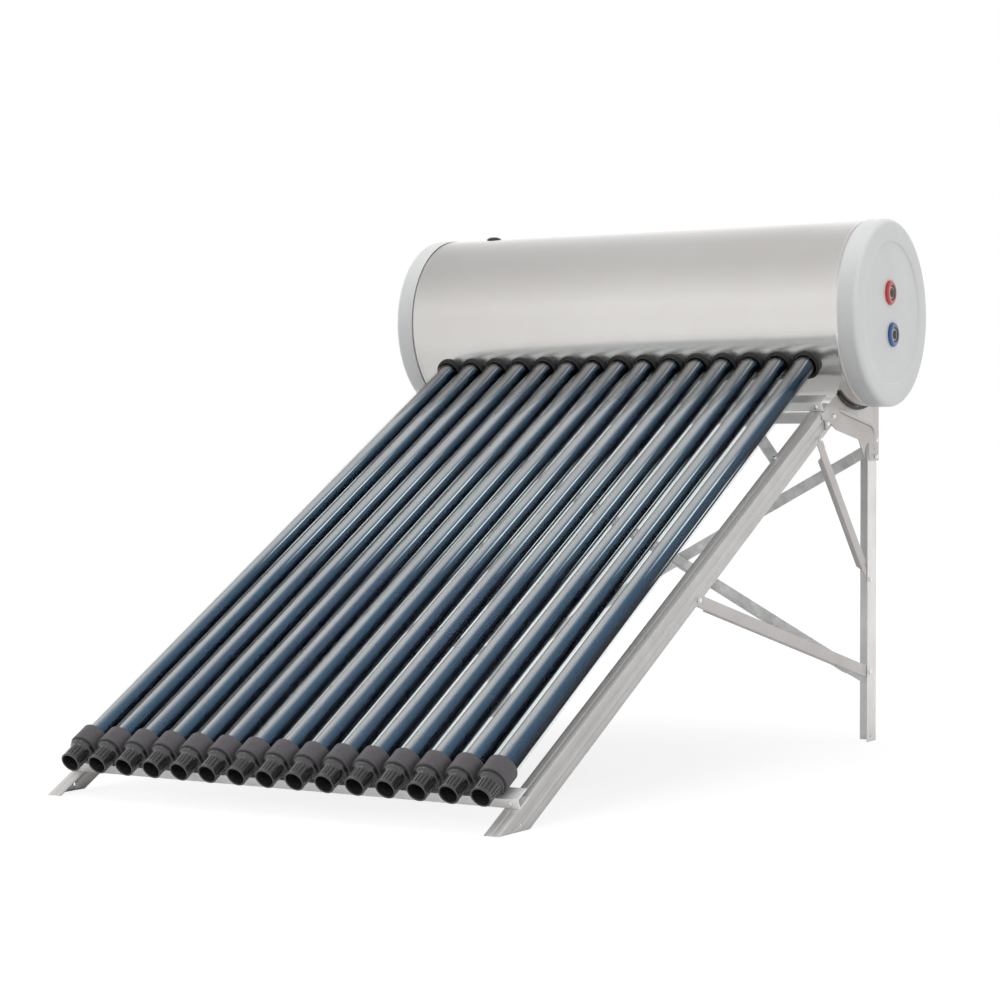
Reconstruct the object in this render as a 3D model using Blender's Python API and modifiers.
"""Roof / ground standing solar water heater: 15 all-glass evacuated tubes and a
horizontal non-pressurised storage tank on a tilted aluminium frame.

Units are metres, +Z up.  +X runs along the tank towards the end that carries
the hot and cold sockets, +Y points to the back of the stand.  The origin is
on the ground, in the middle of the footprint.
"""
import math

import bmesh
import bpy
from mathutils import Matrix, Vector

# ---------------------------------------------------------- shared dimensions
GAP = 0.0003              # clearance between touching pieces
ACROSS = Vector((1, 0, 0))
UP = Vector((0, 0, 1))

# tank: "half" lengths run from the middle of the tank along its axis
TANK_Y = 0.764
TANK_Z = 1.103
TANK = Vector((0, TANK_Y, TANK_Z))
SHELL_R = 0.235
SHELL_T = 0.0008
SHELL_HALF = 0.640
SHELL_STEPS = 48
COVER_R = 0.238
COVER_T = 0.0025
COVER_HALF = 0.676        # outer faces of the end covers
COVER_RECESS = 0.0018     # the flat of the cover lies this far below its rim
COVER_FACE = COVER_HALF - COVER_RECESS
COVER_CORNER_R = 0.013
SKIRT = 0.052
FOAM_R = 0.2335
FOAM_IN_R = 0.1828
FOAM_HALF = 0.668
FOAM_END_R = 0.222        # flat of the foam's ends, inside the chamfer
FOAM_CHAMFER = 0.014      # length of the chamfer along the axis
INNER_R = 0.180
INNER_T = 0.0015
INNER_HALF = 0.609
INNER_STEPS = 24          # foam and inner tank

# tubes: distances along a tube are measured from the open mouth of its cup
TUBE_COUNT = 15
TUBE_PITCH = 0.075
TUBE_R = 0.029            # 58 mm evacuated tube
TUBE_WALL = 0.0028        # one wall that holds the glass of both walls
TUBE_LEN = 1.800
TUBE_TILT = math.radians(30.0)
TUBE_DIR = Vector((0, math.cos(TUBE_TILT), math.sin(TUBE_TILT)))
TUBE_START = 0.0625       # closed tip of the tube
MOUTH_Y = TANK_Y - 1.750
MOUTH_Z = 0.072
MOUTHS = [Vector((TUBE_PITCH * (i - (TUBE_COUNT - 1) / 2), MOUTH_Y, MOUTH_Z))
          for i in range(TUBE_COUNT)]

# tail cup and collar
CUP_R = 0.0235
CUP_BORE = 0.0187
CUP_RING_R = 0.0295
CUP_SPIGOT_R = 0.0225
CUP_LEN = 0.0620
CUP_BARREL_END = 0.0395
CUP_RING_START, CUP_RING_END = 0.0425, 0.0505
CUP_FLOOR = 0.0460
CUP_RIBS = 8
CUP_RIB_DEPTH = 0.0018
COLLAR_R = 0.0335
COLLAR_BORE = 0.0305
COLLAR_START, COLLAR_END = 0.0512, 0.0975
COLLAR_SEAT = 0.0580      # the collar's full bore starts here

# seals
SEAL_R = 0.0388
SEAL_BORE = 0.0305
SEAL_START, SEAL_END = 1.7865, 1.8060
SILICONE_R, SILICONE_LIP_R = 0.0355, 0.0396   # sealing plug and its inner lip
SILICONE_BORE = 0.0318
SILICONE_START, SILICONE_END = 1.8450, 1.8740

# holes
SHELL_HOLE_R = 0.0345     # holes for the tubes in the shell
INNER_HOLE_R = 0.0362     # holes in foam and inner tank, sealed by the plugs
HOLE_STEPS = 8
VENT = Vector((-0.505, TANK_Y, TANK_Z))       # vent axis, at tank axis height
VENT_HOLE_R = 0.0130
VENT_STUB_R = 0.0110
VENT_BORE = 0.0080
VENT_STEPS = 12
PORTS = [Vector((0, TANK_Y - 0.015, TANK_Z + 0.050)),     # hot
         Vector((0, TANK_Y + 0.004, TANK_Z - 0.055))]     # cold
PORT_HOLE_R = 0.0185
PORT_STEPS = 16
SOCKET_R = 0.0165
SOCKET_BORE = 0.0125

# frame: distances along a front leg run from its foot line, at FOOT
LEG_TILT = math.radians(28.7)
LEG_DIR = Vector((0, math.cos(LEG_TILT), math.sin(LEG_TILT)))
LEG_UP = Vector((0, -math.sin(LEG_TILT), math.cos(LEG_TILT)))
FOOT = Vector((0, TANK_Y - 1.766, 0))
LEG_X = 0.576             # outer faces of the legs
LEG_WEB = 0.058
LEG_FLANGE = 0.035
LEG_T = 0.0022
LEG_LEN = 1.815
REAR_WEB = 0.057
REAR_FLANGE = 0.044
REAR_TOP = 0.862
REAR_BACK = TANK_Y + 0.0795 + REAR_WEB        # back faces of the rear legs
RAIL_W = 0.040
RAIL_T = 0.002
RAIL_HALF = 0.578
RAIL_H = 0.0225           # bottom rail
CROSS_H = 0.025           # upper crossbar
CRADLE_R = 0.2432
PLATE_T = 0.0020          # tank bracket
BAR_W = 0.030
BAR_T = 0.0025
BAR_LIP = 0.012


# --------------------------------------------------------------- clean scene
for old_object in list(bpy.data.objects):
    bpy.data.objects.remove(old_object, do_unlink=True)

parts = bpy.data.collections.new("solar_water_heater")
bpy.context.scene.collection.children.link(parts)


# ----------------------------------------------------------------- materials
def material(name, colour, roughness, metallic=0.0):
    mat = bpy.data.materials.new(name)
    mat.use_nodes = True
    inputs = mat.node_tree.nodes["Principled BSDF"].inputs
    inputs["Base Color"].default_value = (*colour, 1.0)
    inputs["Roughness"].default_value = roughness
    inputs["Metallic"].default_value = metallic
    mat.diffuse_color = (*colour, 1.0)
    return mat


GLASS = material("evacuated_glass", (0.03, 0.07, 0.13), roughness=0.08)
PEARL = material("pearl_steel", (0.72, 0.69, 0.66), roughness=0.32, metallic=0.85)
COVER_PLASTIC = material("cover_plastic", (0.70, 0.71, 0.70), roughness=0.45)
FOAM = material("polyurethane_foam", (0.86, 0.76, 0.48), roughness=0.9)
STAINLESS = material("stainless_inner", (0.62, 0.62, 0.63), roughness=0.28, metallic=1.0)
ALUMINIUM = material("aluminium_frame", (0.66, 0.64, 0.62), roughness=0.42, metallic=0.9)
BLACK = material("black_plastic", (0.030, 0.030, 0.032), roughness=0.38)
COLLAR_PLASTIC = material("collar_plastic", (0.085, 0.08, 0.085), roughness=0.6)
RUBBER = material("black_rubber", (0.02, 0.02, 0.02), roughness=0.75)
SILICONE = material("silicone", (0.55, 0.16, 0.10), roughness=0.6)
RED = material("hot_ring_red", (0.62, 0.015, 0.02), roughness=0.35)
BLUE = material("cold_ring_blue", (0.01, 0.07, 0.32), roughness=0.35)


# ------------------------------------------------------------ frames of axes
def frame(origin, x_axis, y_axis):
    """Matrix of right-handed axes at an origin."""
    x, y = Vector(x_axis), Vector(y_axis)
    matrix = Matrix((x, y, x.cross(y))).transposed().to_4x4()
    matrix.translation = Vector(origin)
    return matrix


def axis_frame(origin, direction):
    """Axes with local Z along a direction that is parallel or square to X."""
    z = Vector(direction).normalized()
    x = Vector((0, 1, 0)) if abs(z.x) > 0.5 else ACROSS
    return frame(origin, x, z.cross(x))


def leg_place(along, above, x=0.0):
    """Point at a distance along the front legs and above their flanges."""
    return FOOT + LEG_DIR * along + LEG_UP * above + Vector((x, 0, 0))


# ----------------------------------------------------- objects and booleans
def bmesh_of(*meshes):
    shape = bmesh.new()
    for mesh in meshes:
        shape.from_mesh(mesh)
    return shape


def finish(shape, mesh):
    """Write a bmesh into a mesh and free it."""
    shape.to_mesh(mesh)
    shape.free()
    return mesh


def add(name, mesh, mat, matrix=None, smooth_deg=None):
    ob = bpy.data.objects.new(name, mesh)
    parts.objects.link(ob)
    if matrix is not None:
        ob.matrix_world = matrix
    mesh.materials.clear()
    mesh.materials.append(mat)
    if smooth_deg is not None:
        mesh.shade_smooth()
        mesh.set_sharp_from_angle(angle=math.radians(smooth_deg))
    return ob


def evaluated_mesh(ob):
    """Mesh of an object with its modifiers, in the object's own axes."""
    bpy.context.view_layer.update()
    depsgraph = bpy.context.evaluated_depsgraph_get()
    return bpy.data.meshes.new_from_object(ob.evaluated_get(depsgraph))


def replace_mesh(ob, mesh):
    """Give an object a new mesh in place of its old one and its modifiers."""
    old = ob.data
    ob.modifiers.clear()
    ob.data = mesh
    bpy.data.meshes.remove(old)


def bake(ob):
    """Move the object's origin to the world's, leaving its shape in place."""
    mesh = evaluated_mesh(ob)
    mesh.transform(ob.matrix_world)
    replace_mesh(ob, mesh)
    ob.matrix_world = Matrix.Identity(4)
    return ob


def boolean(ob, other, operation):
    """Combine with another object, which is then removed."""
    modifier = ob.modifiers.new(operation.lower(), "BOOLEAN")
    modifier.operation = operation
    modifier.solver = "EXACT"
    modifier.object = other
    replace_mesh(ob, evaluated_mesh(ob))
    bpy.data.objects.remove(other, do_unlink=True)
    return ob


def cut(ob, other):
    return boolean(ob, other, "DIFFERENCE")


def join(ob, other):
    return boolean(ob, other, "UNION")


def mirror_left(ob):
    """Copy a baked right-hand piece to the left side of the stand."""
    name = ob.name.replace("right", "left")
    mesh = ob.data.copy()
    mesh.transform(Matrix.Scale(-1.0, 4, ACROSS))
    mesh.flip_normals()
    mesh.name = name
    parts.objects.link(bpy.data.objects.new(name, mesh))


# -------------------------------------------------------------- basic shapes
def turned_mesh(name, profile, steps, closed=False):
    """A turned shape: profile of (radius, height) swept about local Z."""
    shape = bmesh.new()
    verts = [shape.verts.new((radius, 0.0, z)) for radius, z in profile]
    for start, end in zip(verts, verts[1:]):
        shape.edges.new((start, end))
    if closed:
        shape.edges.new((verts[-1], verts[0]))
    outline = finish(shape, bpy.data.meshes.new(name))
    ob = bpy.data.objects.new(name, outline)
    parts.objects.link(ob)
    screw = ob.modifiers.new("turn", "SCREW")
    screw.axis = "Z"
    screw.angle = math.tau
    screw.steps = steps
    screw.render_steps = steps
    screw.use_merge_vertices = True
    screw.merge_threshold = 0.00002
    screw.use_smooth_shade = True
    mesh = evaluated_mesh(ob)
    mesh.name = name
    bpy.data.objects.remove(ob, do_unlink=True)
    bpy.data.meshes.remove(outline)
    return mesh


def turned(name, profile, steps, mat, matrix, closed=False):
    mesh = turned_mesh(name, profile, steps, closed)
    return add(name, mesh, mat, matrix, smooth_deg=35)


def turned_on_tank(name, profile, steps, mat, closed=False, end=1):
    """A baked turned piece on the tank axis; end is -1 to face it to -X."""
    return bake(turned(name, profile, steps, mat, axis_frame(TANK, ACROSS * end), closed))


def both_ends(half_profile):
    """Profile from the +Z end's axis to the middle, repeated for the -Z end."""
    return half_profile + [(radius, -z) for radius, z in reversed(half_profile)]


def extruded(name, outline, depth, mat, matrix):
    """A baked flat outline in local XY, filled and extruded evenly to both
    sides along local Z."""
    curve = bpy.data.curves.new(name, "CURVE")
    curve.dimensions = "2D"
    curve.fill_mode = "BOTH"
    curve.extrude = depth / 2.0
    spline = curve.splines.new("POLY")
    spline.points.add(len(outline) - 1)
    for point, (x, y) in zip(spline.points, outline):
        point.co = (x, y, 0.0, 1.0)
    spline.use_cyclic_u = True
    curve_ob = bpy.data.objects.new(name + "_outline", curve)
    parts.objects.link(curve_ob)
    mesh = evaluated_mesh(curve_ob)
    bpy.data.objects.remove(curve_ob, do_unlink=True)
    bpy.data.curves.remove(curve)
    # close the seams between caps and sides
    shape = bmesh_of(mesh)
    bmesh.ops.remove_doubles(shape, verts=shape.verts, dist=0.00001)
    bmesh.ops.recalc_face_normals(shape, faces=shape.faces)
    finish(shape, mesh)
    mesh.name = name
    return bake(add(name, mesh, mat, matrix))


def block(name, low, high, mat, matrix=None):
    """A baked box between two corners."""
    low, high = Vector(low), Vector(high)
    shape = bmesh.new()
    bmesh.ops.create_cube(shape, size=1.0)
    bmesh.ops.scale(shape, vec=high - low, verts=shape.verts)
    bmesh.ops.translate(shape, vec=(low + high) / 2, verts=shape.verts)
    return bake(add(name, finish(shape, bpy.data.meshes.new(name)), mat, matrix))


def rods(spots, radius, span, direction, steps):
    """Round rods in one object; span is their start and end from each spot."""
    start, end = span
    shape = bmesh.new()
    for spot in spots:
        middle = Vector(spot) + direction * ((start + end) / 2)
        bmesh.ops.create_cone(
            shape, cap_ends=True, segments=steps, radius1=radius, radius2=radius,
            depth=end - start, matrix=axis_frame(middle, direction))
    return add("rods", finish(shape, bpy.data.meshes.new("rods")), ALUMINIUM)


def drill_tubes(ob, radius, span):
    cut(ob, rods(MOUTHS, radius, span, TUBE_DIR, HOLE_STEPS))


def drill_ports(ob, radius, span, steps):
    cut(ob, rods(PORTS, radius, span, ACROSS, steps))


def drill_vent(ob, radius, span):
    cut(ob, rods([VENT], radius, span, UP, VENT_STEPS))


# ============================================================== storage tank
def build_outer_shell():
    """Rolled sheet, open at both ends under the covers."""
    bore = SHELL_R - SHELL_T
    shell = turned_on_tank("outer_shell", [
        (SHELL_R, SHELL_HALF), (SHELL_R, -SHELL_HALF),
        (bore, -SHELL_HALF), (bore, SHELL_HALF)], SHELL_STEPS, PEARL, closed=True)
    drill_tubes(shell, SHELL_HOLE_R, span=(1.70, 1.90))
    drill_vent(shell, VENT_HOLE_R, span=(0.20, 0.30))


def build_insulation():
    """Foam body, hollow for the inner tank, with holes for tubes, ports, vent."""
    foam = turned_on_tank("tank_insulation", both_ends([
        (0.0, FOAM_HALF), (FOAM_END_R, FOAM_HALF),
        (FOAM_R, FOAM_HALF - FOAM_CHAMFER)]), INNER_STEPS, FOAM)
    hollow_half = INNER_HALF + 0.003
    cut(foam, turned_on_tank("foam_hollow", both_ends([
        (0.0, hollow_half), (FOAM_IN_R, hollow_half)]), INNER_STEPS, FOAM))
    drill_tubes(foam, INNER_HOLE_R, span=(1.70, 1.88))
    drill_ports(foam, PORT_HOLE_R, span=(0.58, 0.70), steps=12)
    drill_vent(foam, VENT_HOLE_R, span=(0.15, 0.30))


def build_inner_tank():
    """Stainless tank with dished ends, a vent stub and two sockets."""
    knuckle_r = 0.150         # where the shallow dish meets the steeper edge
    dish = 0.006              # fall of the dish from the axis to the knuckle
    edge = 0.026              # fall of the dish from the axis to the wall
    inner = turned_on_tank("inner_tank", both_ends([
        (0.0, INNER_HALF), (knuckle_r, INNER_HALF - dish),
        (INNER_R, INNER_HALF - edge)]), INNER_STEPS, STAINLESS)
    join(inner, rods([VENT], VENT_STUB_R, (0.170, 0.2405), UP, VENT_STEPS))
    # the sockets reach through the right-hand end cover
    socket_span = (0.600, COVER_HALF + 0.0027)
    join(inner, rods(PORTS, SOCKET_R, socket_span, ACROSS, PORT_STEPS))
    water_half = INNER_HALF - INNER_T
    cut(inner, turned_on_tank("water_space", both_ends([
        (0.0, water_half), (knuckle_r - 0.001, water_half - dish),
        (INNER_R - INNER_T, INNER_HALF - edge - 0.0008)]), INNER_STEPS, STAINLESS))
    drill_vent(inner, VENT_BORE, span=(0.15, 0.26))
    drill_tubes(inner, INNER_HOLE_R, span=(1.80, 1.90))
    drill_ports(inner, SOCKET_BORE, span=(0.58, 0.70), steps=PORT_STEPS)


def cover_corner(radius, angles):
    """Profile points of the rounded cover edge, at angles in degrees."""
    return [(COVER_R - COVER_CORNER_R + radius * math.cos(math.radians(angle)),
             COVER_HALF - COVER_CORNER_R + radius * math.sin(math.radians(angle)))
            for angle in angles]


def build_end_covers():
    """Moulded caps with a skirt over the shell."""
    skirt_end = COVER_HALF - SKIRT
    profile = (
        [(0.0, COVER_FACE), (0.176, COVER_FACE), (0.179, COVER_HALF)]
        + cover_corner(COVER_CORNER_R, (90, 55, 20))
        + [(COVER_R, skirt_end), (SHELL_R + 0.0005, skirt_end)]
        + cover_corner(COVER_CORNER_R - COVER_T, (20, 70))
        + [(0.0, COVER_FACE - COVER_T)])
    right = turned_on_tank("end_cover_right", profile, SHELL_STEPS, COVER_PLASTIC)
    drill_ports(right, PORT_HOLE_R, span=(0.60, 0.70), steps=PORT_STEPS)
    turned_on_tank("end_cover_left", profile, SHELL_STEPS, COVER_PLASTIC, end=-1)


def build_port_rings():
    """Coloured rings around the sockets, on the right-hand cover."""
    ring_r, bore, height = 0.031, 0.0172, 0.0065
    profile = [
        (0.0275, COVER_FACE + height), (ring_r, COVER_FACE + 0.0040),
        (ring_r, COVER_FACE + GAP), (bore, COVER_FACE + GAP), (bore, COVER_FACE + height)]
    for port, name, mat in zip(PORTS, ("hot_outlet_ring", "cold_inlet_ring"), (RED, BLUE)):
        turned(name, profile, 20, mat, axis_frame(port, ACROSS), closed=True)


def build_vent_cap():
    """Push-on cap over the vent stub."""
    # (radius, height above the tank axis)
    turned("vent_cap", [
        (0.0, 0.2448), (0.0110, 0.2438), (0.0170, 0.2412), (0.0203, 0.2378),
        (0.0203, 0.2358), (0.0120, 0.2358), (0.0120, 0.2412), (0.0, 0.2412)],
        16, BLACK, axis_frame(VENT, UP))


# =========================================================== evacuated tubes
def build_tubes():
    """Glass tubes with a round closed tip, sharing one mesh."""
    bore = TUBE_R - TUBE_WALL
    diagonal = TUBE_R * math.sin(math.radians(45))
    # (radius, distance from the tip); both sides of the wall start on the axis
    outside = [(bore, TUBE_LEN), (TUBE_R, TUBE_LEN), (TUBE_R, TUBE_R),
               (diagonal, TUBE_R - diagonal), (0.0, 0.0)]
    inside = [(0.0, TUBE_WALL), (bore * 0.80, TUBE_R - bore * 0.60),
              (bore, TUBE_R), (bore, TUBE_LEN)]
    tube = turned_mesh("vacuum_tube", outside, 16)
    lining = turned_mesh("vacuum_tube_bore", inside, 16)
    # weld the two sides together at the open end
    shape = bmesh_of(tube, lining)
    bmesh.ops.remove_doubles(shape, verts=shape.verts, dist=0.00001)
    bmesh.ops.recalc_face_normals(shape, faces=shape.faces)
    finish(shape, tube)
    bpy.data.meshes.remove(lining)
    for i, mouth in enumerate(MOUTHS, start=1):
        tip = mouth + TUBE_DIR * TUBE_START
        add("vacuum_tube_%02d" % i, tube, GLASS, axis_frame(tip, TUBE_DIR), smooth_deg=40)


def build_tail_cups():
    """Ribbed cups below the tubes, sharing one mesh."""
    cup = turned_mesh("tail_cup", [
        (0.0, CUP_LEN), (CUP_SPIGOT_R, CUP_LEN), (CUP_SPIGOT_R, CUP_RING_END),
        (CUP_RING_R, CUP_RING_END), (CUP_RING_R, CUP_RING_START),
        (CUP_R, CUP_BARREL_END), (CUP_R, 0.0),
        (CUP_BORE, 0.0), (CUP_BORE, CUP_FLOOR), (0.0, CUP_FLOOR)], 2 * CUP_RIBS)
    # grip ribs: every second line of points on the barrel is let in
    shape = bmesh_of(cup)
    for vert in shape.verts:
        radius = math.hypot(vert.co.x, vert.co.y)
        if vert.co.z < CUP_BARREL_END + 0.0005 and radius > CUP_R - 0.0005:
            column = round(math.atan2(vert.co.y, vert.co.x) / (math.pi / CUP_RIBS))
            if column % 2:
                shrink = (radius - CUP_RIB_DEPTH) / radius
                vert.co.x *= shrink
                vert.co.y *= shrink
    finish(shape, cup)
    for i, mouth in enumerate(MOUTHS, start=1):
        add("tail_cup_%02d" % i, cup, BLACK, axis_frame(mouth, TUBE_DIR), smooth_deg=30)


# ========================================================= collars and seals
def rings(name, profile, steps, mat, mouths):
    """Equal rings on the tube axes, in one object."""
    ring = turned_mesh(name, profile, steps, closed=True)
    shape = bmesh.new()
    for mouth in mouths:
        placed = ring.copy()
        placed.transform(axis_frame(mouth, TUBE_DIR))
        shape.from_mesh(placed)
        bpy.data.meshes.remove(placed)
    bpy.data.meshes.remove(ring)
    return add(name, finish(shape, bpy.data.meshes.new(name)), mat)


def joined_rings(name, profile, steps, mat):
    """Union of neighbouring rings that overlap at their edges."""
    odd = rings(name, profile, steps, mat, MOUTHS[0::2])
    even = rings(name + "_even", profile, steps, mat, MOUTHS[1::2])
    return join(odd, even)


def build_collars():
    """Collars that hold the tube ends, seated on one saddle strip on the rail."""
    collars = rings("tail_collars", [
        (COLLAR_R, COLLAR_END), (COLLAR_R, COLLAR_START),
        (CUP_SPIGOT_R + 0.0012, COLLAR_START), (COLLAR_BORE, COLLAR_SEAT),
        (COLLAR_BORE, COLLAR_END)], 12, COLLAR_PLASTIC, MOUTHS)
    saddle_half = 7.2 * TUBE_PITCH
    saddle_start, saddle_end = 0.110, 0.124   # along the leg
    rail_top = RAIL_H + GAP
    join(collars, block(
        "saddle", (-saddle_half, saddle_start, rail_top + GAP),
        (saddle_half, saddle_end, rail_top + 0.0042), COLLAR_PLASTIC,
        frame(FOOT, ACROSS, LEG_DIR)))


def build_dust_seals():
    """Rubber lips shaped to the shell, meeting side by side."""
    seals = joined_rings("dust_seals", [
        (SEAL_R, SEAL_END), (SEAL_R, SEAL_START + 0.0055), (SEAL_R - 0.0030, SEAL_START),
        (SEAL_BORE, SEAL_START), (SEAL_BORE, SEAL_END)], 12, RUBBER)
    core_half = 0.62
    cut(seals, turned_on_tank("tank_core", both_ends([
        (0.0, core_half), (SHELL_R + GAP, core_half)]), SHELL_STEPS, RUBBER))


def build_tube_seals():
    """Silicone sealing rings in the inner tank's holes."""
    joined_rings("tube_seals", [
        (SILICONE_LIP_R, SILICONE_END), (SILICONE_LIP_R, 1.8690),
        (SILICONE_R, 1.8655), (SILICONE_R, SILICONE_START),
        (SILICONE_BORE, SILICONE_START), (SILICONE_BORE, SILICONE_END)], 8, SILICONE)


# ====================================================================== legs
GROOVE_HALF = 0.0010
ANCHOR_R = 0.0032


def groove(x, y, run, dip):
    """Four outline points of a shallow groove centred at (x, y); run is the
    way the outline goes and dip the step into the material."""
    return [(x + side * GROOVE_HALF * run[0] + deep * dip[0],
             y + side * GROOVE_HALF * run[1] + deep * dip[1])
            for side, deep in ((-1, 0), (-0.5, 1), (0.5, 1), (1, 0))]


def leg_outline(web, flange):
    """Angle extrusion: flange along -X from the corner, web along -Y, with
    shallow grooves along its outer faces."""
    inside, flange_x = LEG_X - LEG_T, LEG_X - flange
    outline = [(LEG_X, 0.0)]
    outline += groove(LEG_X - flange * 0.5, 0.0, run=(-1, 0), dip=(0.0, -0.0006))
    outline += [(flange_x, 0.0), (flange_x, -LEG_T), (inside, -LEG_T),
                (inside, -web), (LEG_X, -web)]
    for fraction in (0.76, 0.40):
        outline += groove(LEG_X, -web * fraction, run=(0, 1), dip=(-0.0007, 0.0))
    return outline


def drill_anchor(leg, y, z):
    """Small hole across the web near the ground."""
    cut(leg, rods([(0.5, y, z)], ANCHOR_R, (0.0, 0.2), ACROSS, 12))


def build_front_legs():
    """Flange under the tubes, web outside, cut level at the foot."""
    spare = 0.2               # extra length below the foot, cut off at the ground
    middle = leg_place((LEG_LEN - spare) / 2, 0.0)
    leg = extruded("front_leg_right", leg_outline(LEG_WEB, LEG_FLANGE), LEG_LEN + spare,
                   ALUMINIUM, frame(middle, ACROSS, LEG_UP))
    cut(leg, block("ground", (0.4, -2.0, -0.5), (0.7, 0.0, 0.0), ALUMINIUM))
    drill_anchor(leg, TANK_Y - 1.679, 0.0140)
    mirror_left(leg)


def build_rear_legs():
    """Upright angles, flange at the back."""
    leg = extruded("rear_leg_right", leg_outline(REAR_WEB, REAR_FLANGE), REAR_TOP,
                   ALUMINIUM, Matrix.Translation((0, REAR_BACK, REAR_TOP / 2)))
    drill_anchor(leg, TANK_Y + 0.101, 0.0120)
    mirror_left(leg)


def build_channel(name, start, height):
    """Channel across the stand, on top of the leg flanges, closed side
    facing the front, open towards the back."""
    end, web = start + RAIL_W, start + RAIL_T
    bottom, top = GAP, GAP + height
    # (distance along the leg, height above its flange)
    outline = [
        (start, bottom), (end, bottom), (end, bottom + RAIL_T), (web, bottom + RAIL_T),
        (web, top - RAIL_T), (end, top - RAIL_T), (end, top), (start, top)]
    extruded(name, outline, 2 * RAIL_HALF, ALUMINIUM, frame(FOOT, LEG_DIR, LEG_UP))


# ============================================================= tank brackets
# local X is the distance behind the tank axis, local Y the height above ground
PLATE_FRAME = frame((LEG_X + GAP + PLATE_T / 2, TANK_Y, 0), (0, 1, 0), (0, 0, 1))
BRACKET_BACK = 0.1455
BRACKET_BOTTOM = 0.7290   # lower edge of the back part

# outline over the leg end: (distance along the leg, height above its flange)
BRACKET_ON_LEG = [
    (1.8625, -0.0015), (1.7576, -0.0015), (1.7576, -0.0180), (1.7676, -0.0215),
    (1.7676, -0.0340), (1.7633, -0.0490), (1.8000, -0.0500), (1.8108, -0.0657)]
# lower edge behind the leg: (behind the tank axis, above ground)
BRACKET_LOWER = [(-0.1304, 0.8058), (0.0130, 0.7830)]
# rounded step in the lower edge: centre, half axes, degrees from the top
STEP_Y, STEP_Z = 0.0830, 0.7300
STEP_WIDE, STEP_HIGH = 0.036, 0.0455
STEP_ANGLES = (65, 45, 25, 8)
# middle line of the raised rib: (behind the tank axis, above ground)
RIB_PATH = [
    (-0.1180, 0.8570), (0.0194, 0.8340), (0.0760, 0.8250), (0.0980, 0.8190),
    (0.1120, 0.8060), (0.1170, 0.7860), (0.1170, 0.7560)]
RIB_HALF = 0.0085         # half width
RIB_DEPTH = 0.0030
RIB_SHIFT = 0.0015        # its middle lies outside the plate's middle


def arc(radius, first, last, count):
    """Points about the tank axis; 0 degrees points down, positive to the back."""
    points = []
    for i in range(count):
        angle = math.radians(first + (last - first) * i / (count - 1))
        points.append((radius * math.sin(angle), TANK_Z - radius * math.cos(angle)))
    return points


def arc_band(inside, outside, first, last, count):
    """Outline between two radii about the tank axis."""
    return arc(inside, first, last, count) + arc(outside, last, first, count)


def band(path, half):
    """Outline of an even band along a path."""
    left, right = [], []
    for i, (x, y) in enumerate(path):
        before_x, before_y = path[max(i - 1, 0)]
        after_x, after_y = path[min(i + 1, len(path) - 1)]
        run_x, run_y = after_x - before_x, after_y - before_y
        length = math.hypot(run_x, run_y)
        side_x, side_y = -run_y / length * half, run_x / length * half
        left.append((x + side_x, y + side_y))
        right.append((x - side_x, y - side_y))
    return left + right[::-1]


def bracket_outline():
    on_leg = [leg_place(along, above) for along, above in BRACKET_ON_LEG]
    step = [(STEP_Y - STEP_WIDE * math.sin(math.radians(angle)),
             STEP_Z + STEP_HIGH * math.cos(math.radians(angle))) for angle in STEP_ANGLES]
    back_angle = math.degrees(math.asin(BRACKET_BACK / CRADLE_R))
    return ([(point.y - TANK_Y, point.z) for point in on_leg]
            + BRACKET_LOWER + step
            + [(STEP_Y, BRACKET_BOTTOM), (BRACKET_BACK, BRACKET_BOTTOM)]
            + arc(CRADLE_R, back_angle, -31.0, 11))


def build_brackets():
    """Pressed plates over the leg ends, with a round cradle on top."""
    bracket = extruded("tank_bracket_right", bracket_outline(), PLATE_T, ALUMINIUM,
                       PLATE_FRAME)
    join(bracket, extruded("rib", band(RIB_PATH, RIB_HALF), RIB_DEPTH, ALUMINIUM,
                           Matrix.Translation((RIB_SHIFT, 0, 0)) @ PLATE_FRAME))
    mirror_left(bracket)


def build_cradle_pads():
    """Rubber edging between bracket and tank, slotted for the plate."""
    pad = extruded(
        "cradle_pad_right",
        arc_band(SHELL_R + 0.0006, CRADLE_R + 0.0052, first=-30.0, last=35.5, count=10),
        0.0100, RUBBER, PLATE_FRAME)
    cut(pad, extruded(
        "pad_slot",
        arc_band(CRADLE_R - 0.0008, CRADLE_R + 0.012, first=-33.0, last=39.0, count=14),
        PLATE_T + 0.0006, RUBBER, PLATE_FRAME))
    mirror_left(pad)


# ==================================================================== braces
BAR_OVER = 0.014          # bar length beyond a bolt centre
BAR_BEND = 0.045          # end of the flat part, from a bolt centre
BEND_RUN = 0.008          # length of the slope of a joggle
LIP_INSET = 0.004         # lip starts this far beyond the bend
BRACE_Y = REAR_BACK - LEG_T - GAP     # front of the rear flanges
BRACE_HALF = 0.550
BRACE_TOP, BRACE_BOTTOM = 0.755, 0.160
CROSSBAR_HALF = 0.556
CROSSBAR_LIP_HALF = 0.528
CROSSBAR_LIP = 0.020
CROSSBAR_TOP = 0.856


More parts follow.
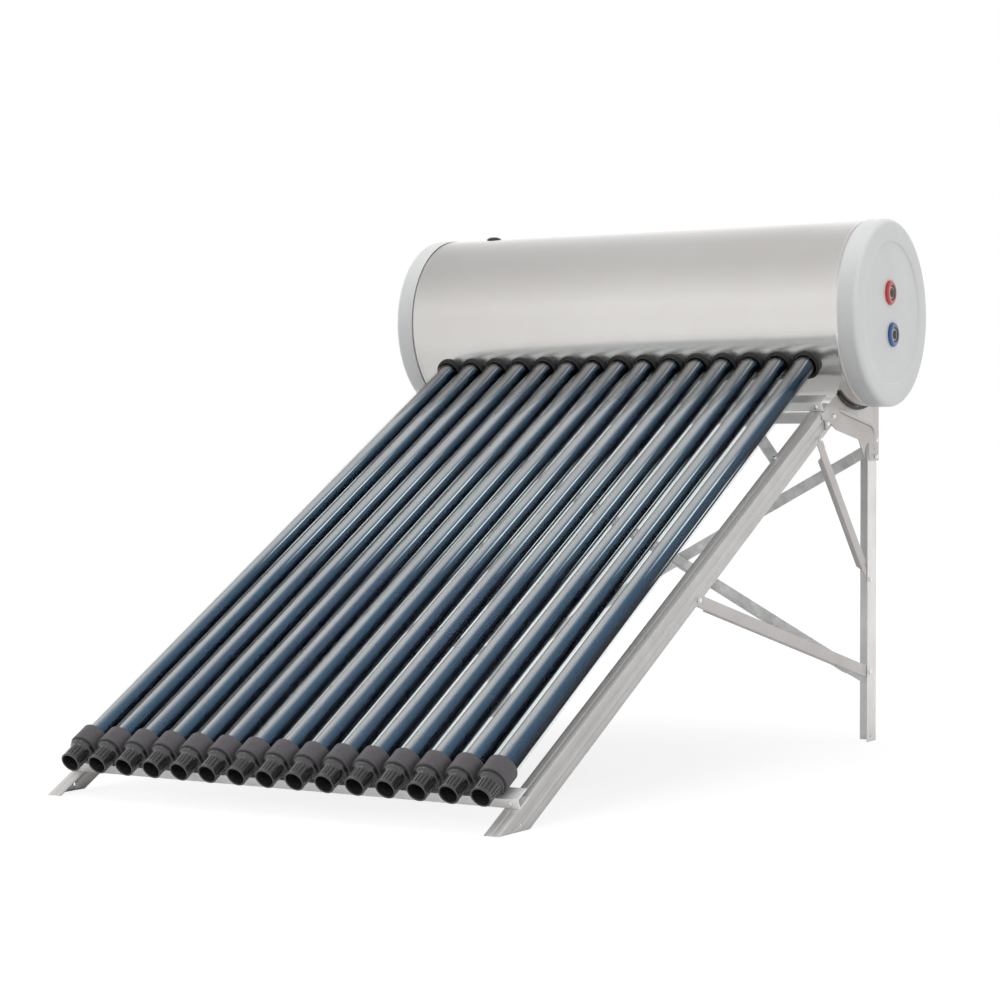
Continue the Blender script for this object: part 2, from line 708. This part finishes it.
def flat_bar(name, start, end, normal, lip=0.0, joggle=0.0):
    """Bar with flat ends between two bolt centres on its back face.  normal
    is the way the plate faces.  lip is the reach of an edge flange along
    normal, negative to the back; joggle lifts the middle along normal."""
    start, end = Vector(start), Vector(end)
    length = (end - start).length
    # local X along the bar, local Y the plate's normal, local Z across it
    bar_frame = frame(start, (end - start).normalized(), normal)
    back = [(-BAR_OVER, 0.0), (length + BAR_OVER, 0.0)]
    if joggle:
        back[1:1] = [
            (BAR_BEND - BEND_RUN, 0.0), (BAR_BEND, joggle),
            (length - BAR_BEND, joggle), (length - BAR_BEND + BEND_RUN, 0.0)]
    outline = back + [(x, y + BAR_T) for x, y in reversed(back)]
    bar = extruded(name, outline, BAR_W, ALUMINIUM, bar_frame)
    if lip:
        inset = BAR_BEND + LIP_INSET
        low = joggle + min(lip, 0.0)
        high = joggle + (lip if lip > 0 else BAR_T)
        join(bar, block("lip", (inset, low, BAR_W / 2 - BAR_T),
                        (length - inset, high, BAR_W / 2), ALUMINIUM, bar_frame))
    return bar


def build_side_braces():
    """Diagonal and strut on each side, inside the leg webs."""
    x = LEG_X - LEG_T - GAP - BAR_T
    # name, then front and back bolt as (behind the tank axis, above ground)
    for name, front, back in (
            ("side_diagonal_right", (-0.2270, 0.7817), (0.0990, 0.4210)),
            ("side_strut_right", (-0.8960, 0.4169), (0.0990, 0.1790))):
        mirror_left(flat_bar(name, (x, TANK_Y + front[0], front[1]),
                             (x, TANK_Y + back[0], back[1]), ACROSS, lip=-BAR_LIP))


def build_rear_braces():
    """Crossed bars on the front of the rear flanges; b is lifted over a."""
    for name, side, lip, joggle in (("rear_brace_a", 1, 0.0, 0.0),
                                    ("rear_brace_b", -1, BAR_LIP, BAR_T + 0.0006)):
        flat_bar(name, (side * BRACE_HALF, BRACE_Y, BRACE_TOP),
                 (-side * BRACE_HALF, BRACE_Y, BRACE_BOTTOM), (0, -1, 0), lip, joggle)


def build_rear_crossbar():
    """Angle bar high up between the rear legs, its lip towards the front."""
    crossbar = block(
        "rear_crossbar", (-CROSSBAR_HALF, BRACE_Y - BAR_T, CROSSBAR_TOP - BAR_W),
        (CROSSBAR_HALF, BRACE_Y, CROSSBAR_TOP), ALUMINIUM)
    join(crossbar, block(
        "lip", (-CROSSBAR_LIP_HALF, BRACE_Y - CROSSBAR_LIP, CROSSBAR_TOP - BAR_T),
        (CROSSBAR_LIP_HALF, BRACE_Y, CROSSBAR_TOP), ALUMINIUM))


def build_knee_braces():
    """Bars under the leg flange and the upper crossbar."""
    under = -LEG_T - GAP
    mirror_left(flat_bar("knee_brace_right", leg_place(1.5300, under, x=0.5440),
                         leg_place(1.7930, under, x=0.3450), -LEG_UP))


# ===================================================================== build
build_outer_shell()
build_insulation()
build_inner_tank()
build_end_covers()
build_port_rings()
build_vent_cap()
build_tubes()
build_tail_cups()
build_collars()
build_dust_seals()
build_tube_seals()
build_front_legs()
build_rear_legs()
build_channel("bottom_rail", start=0.092, height=RAIL_H)
build_channel("upper_crossbar", start=1.772, height=CROSS_H)
build_brackets()
build_cradle_pads()
build_side_braces()
build_rear_braces()
build_rear_crossbar()
build_knee_braces()

for part in parts.objects:
    part.data.validate()
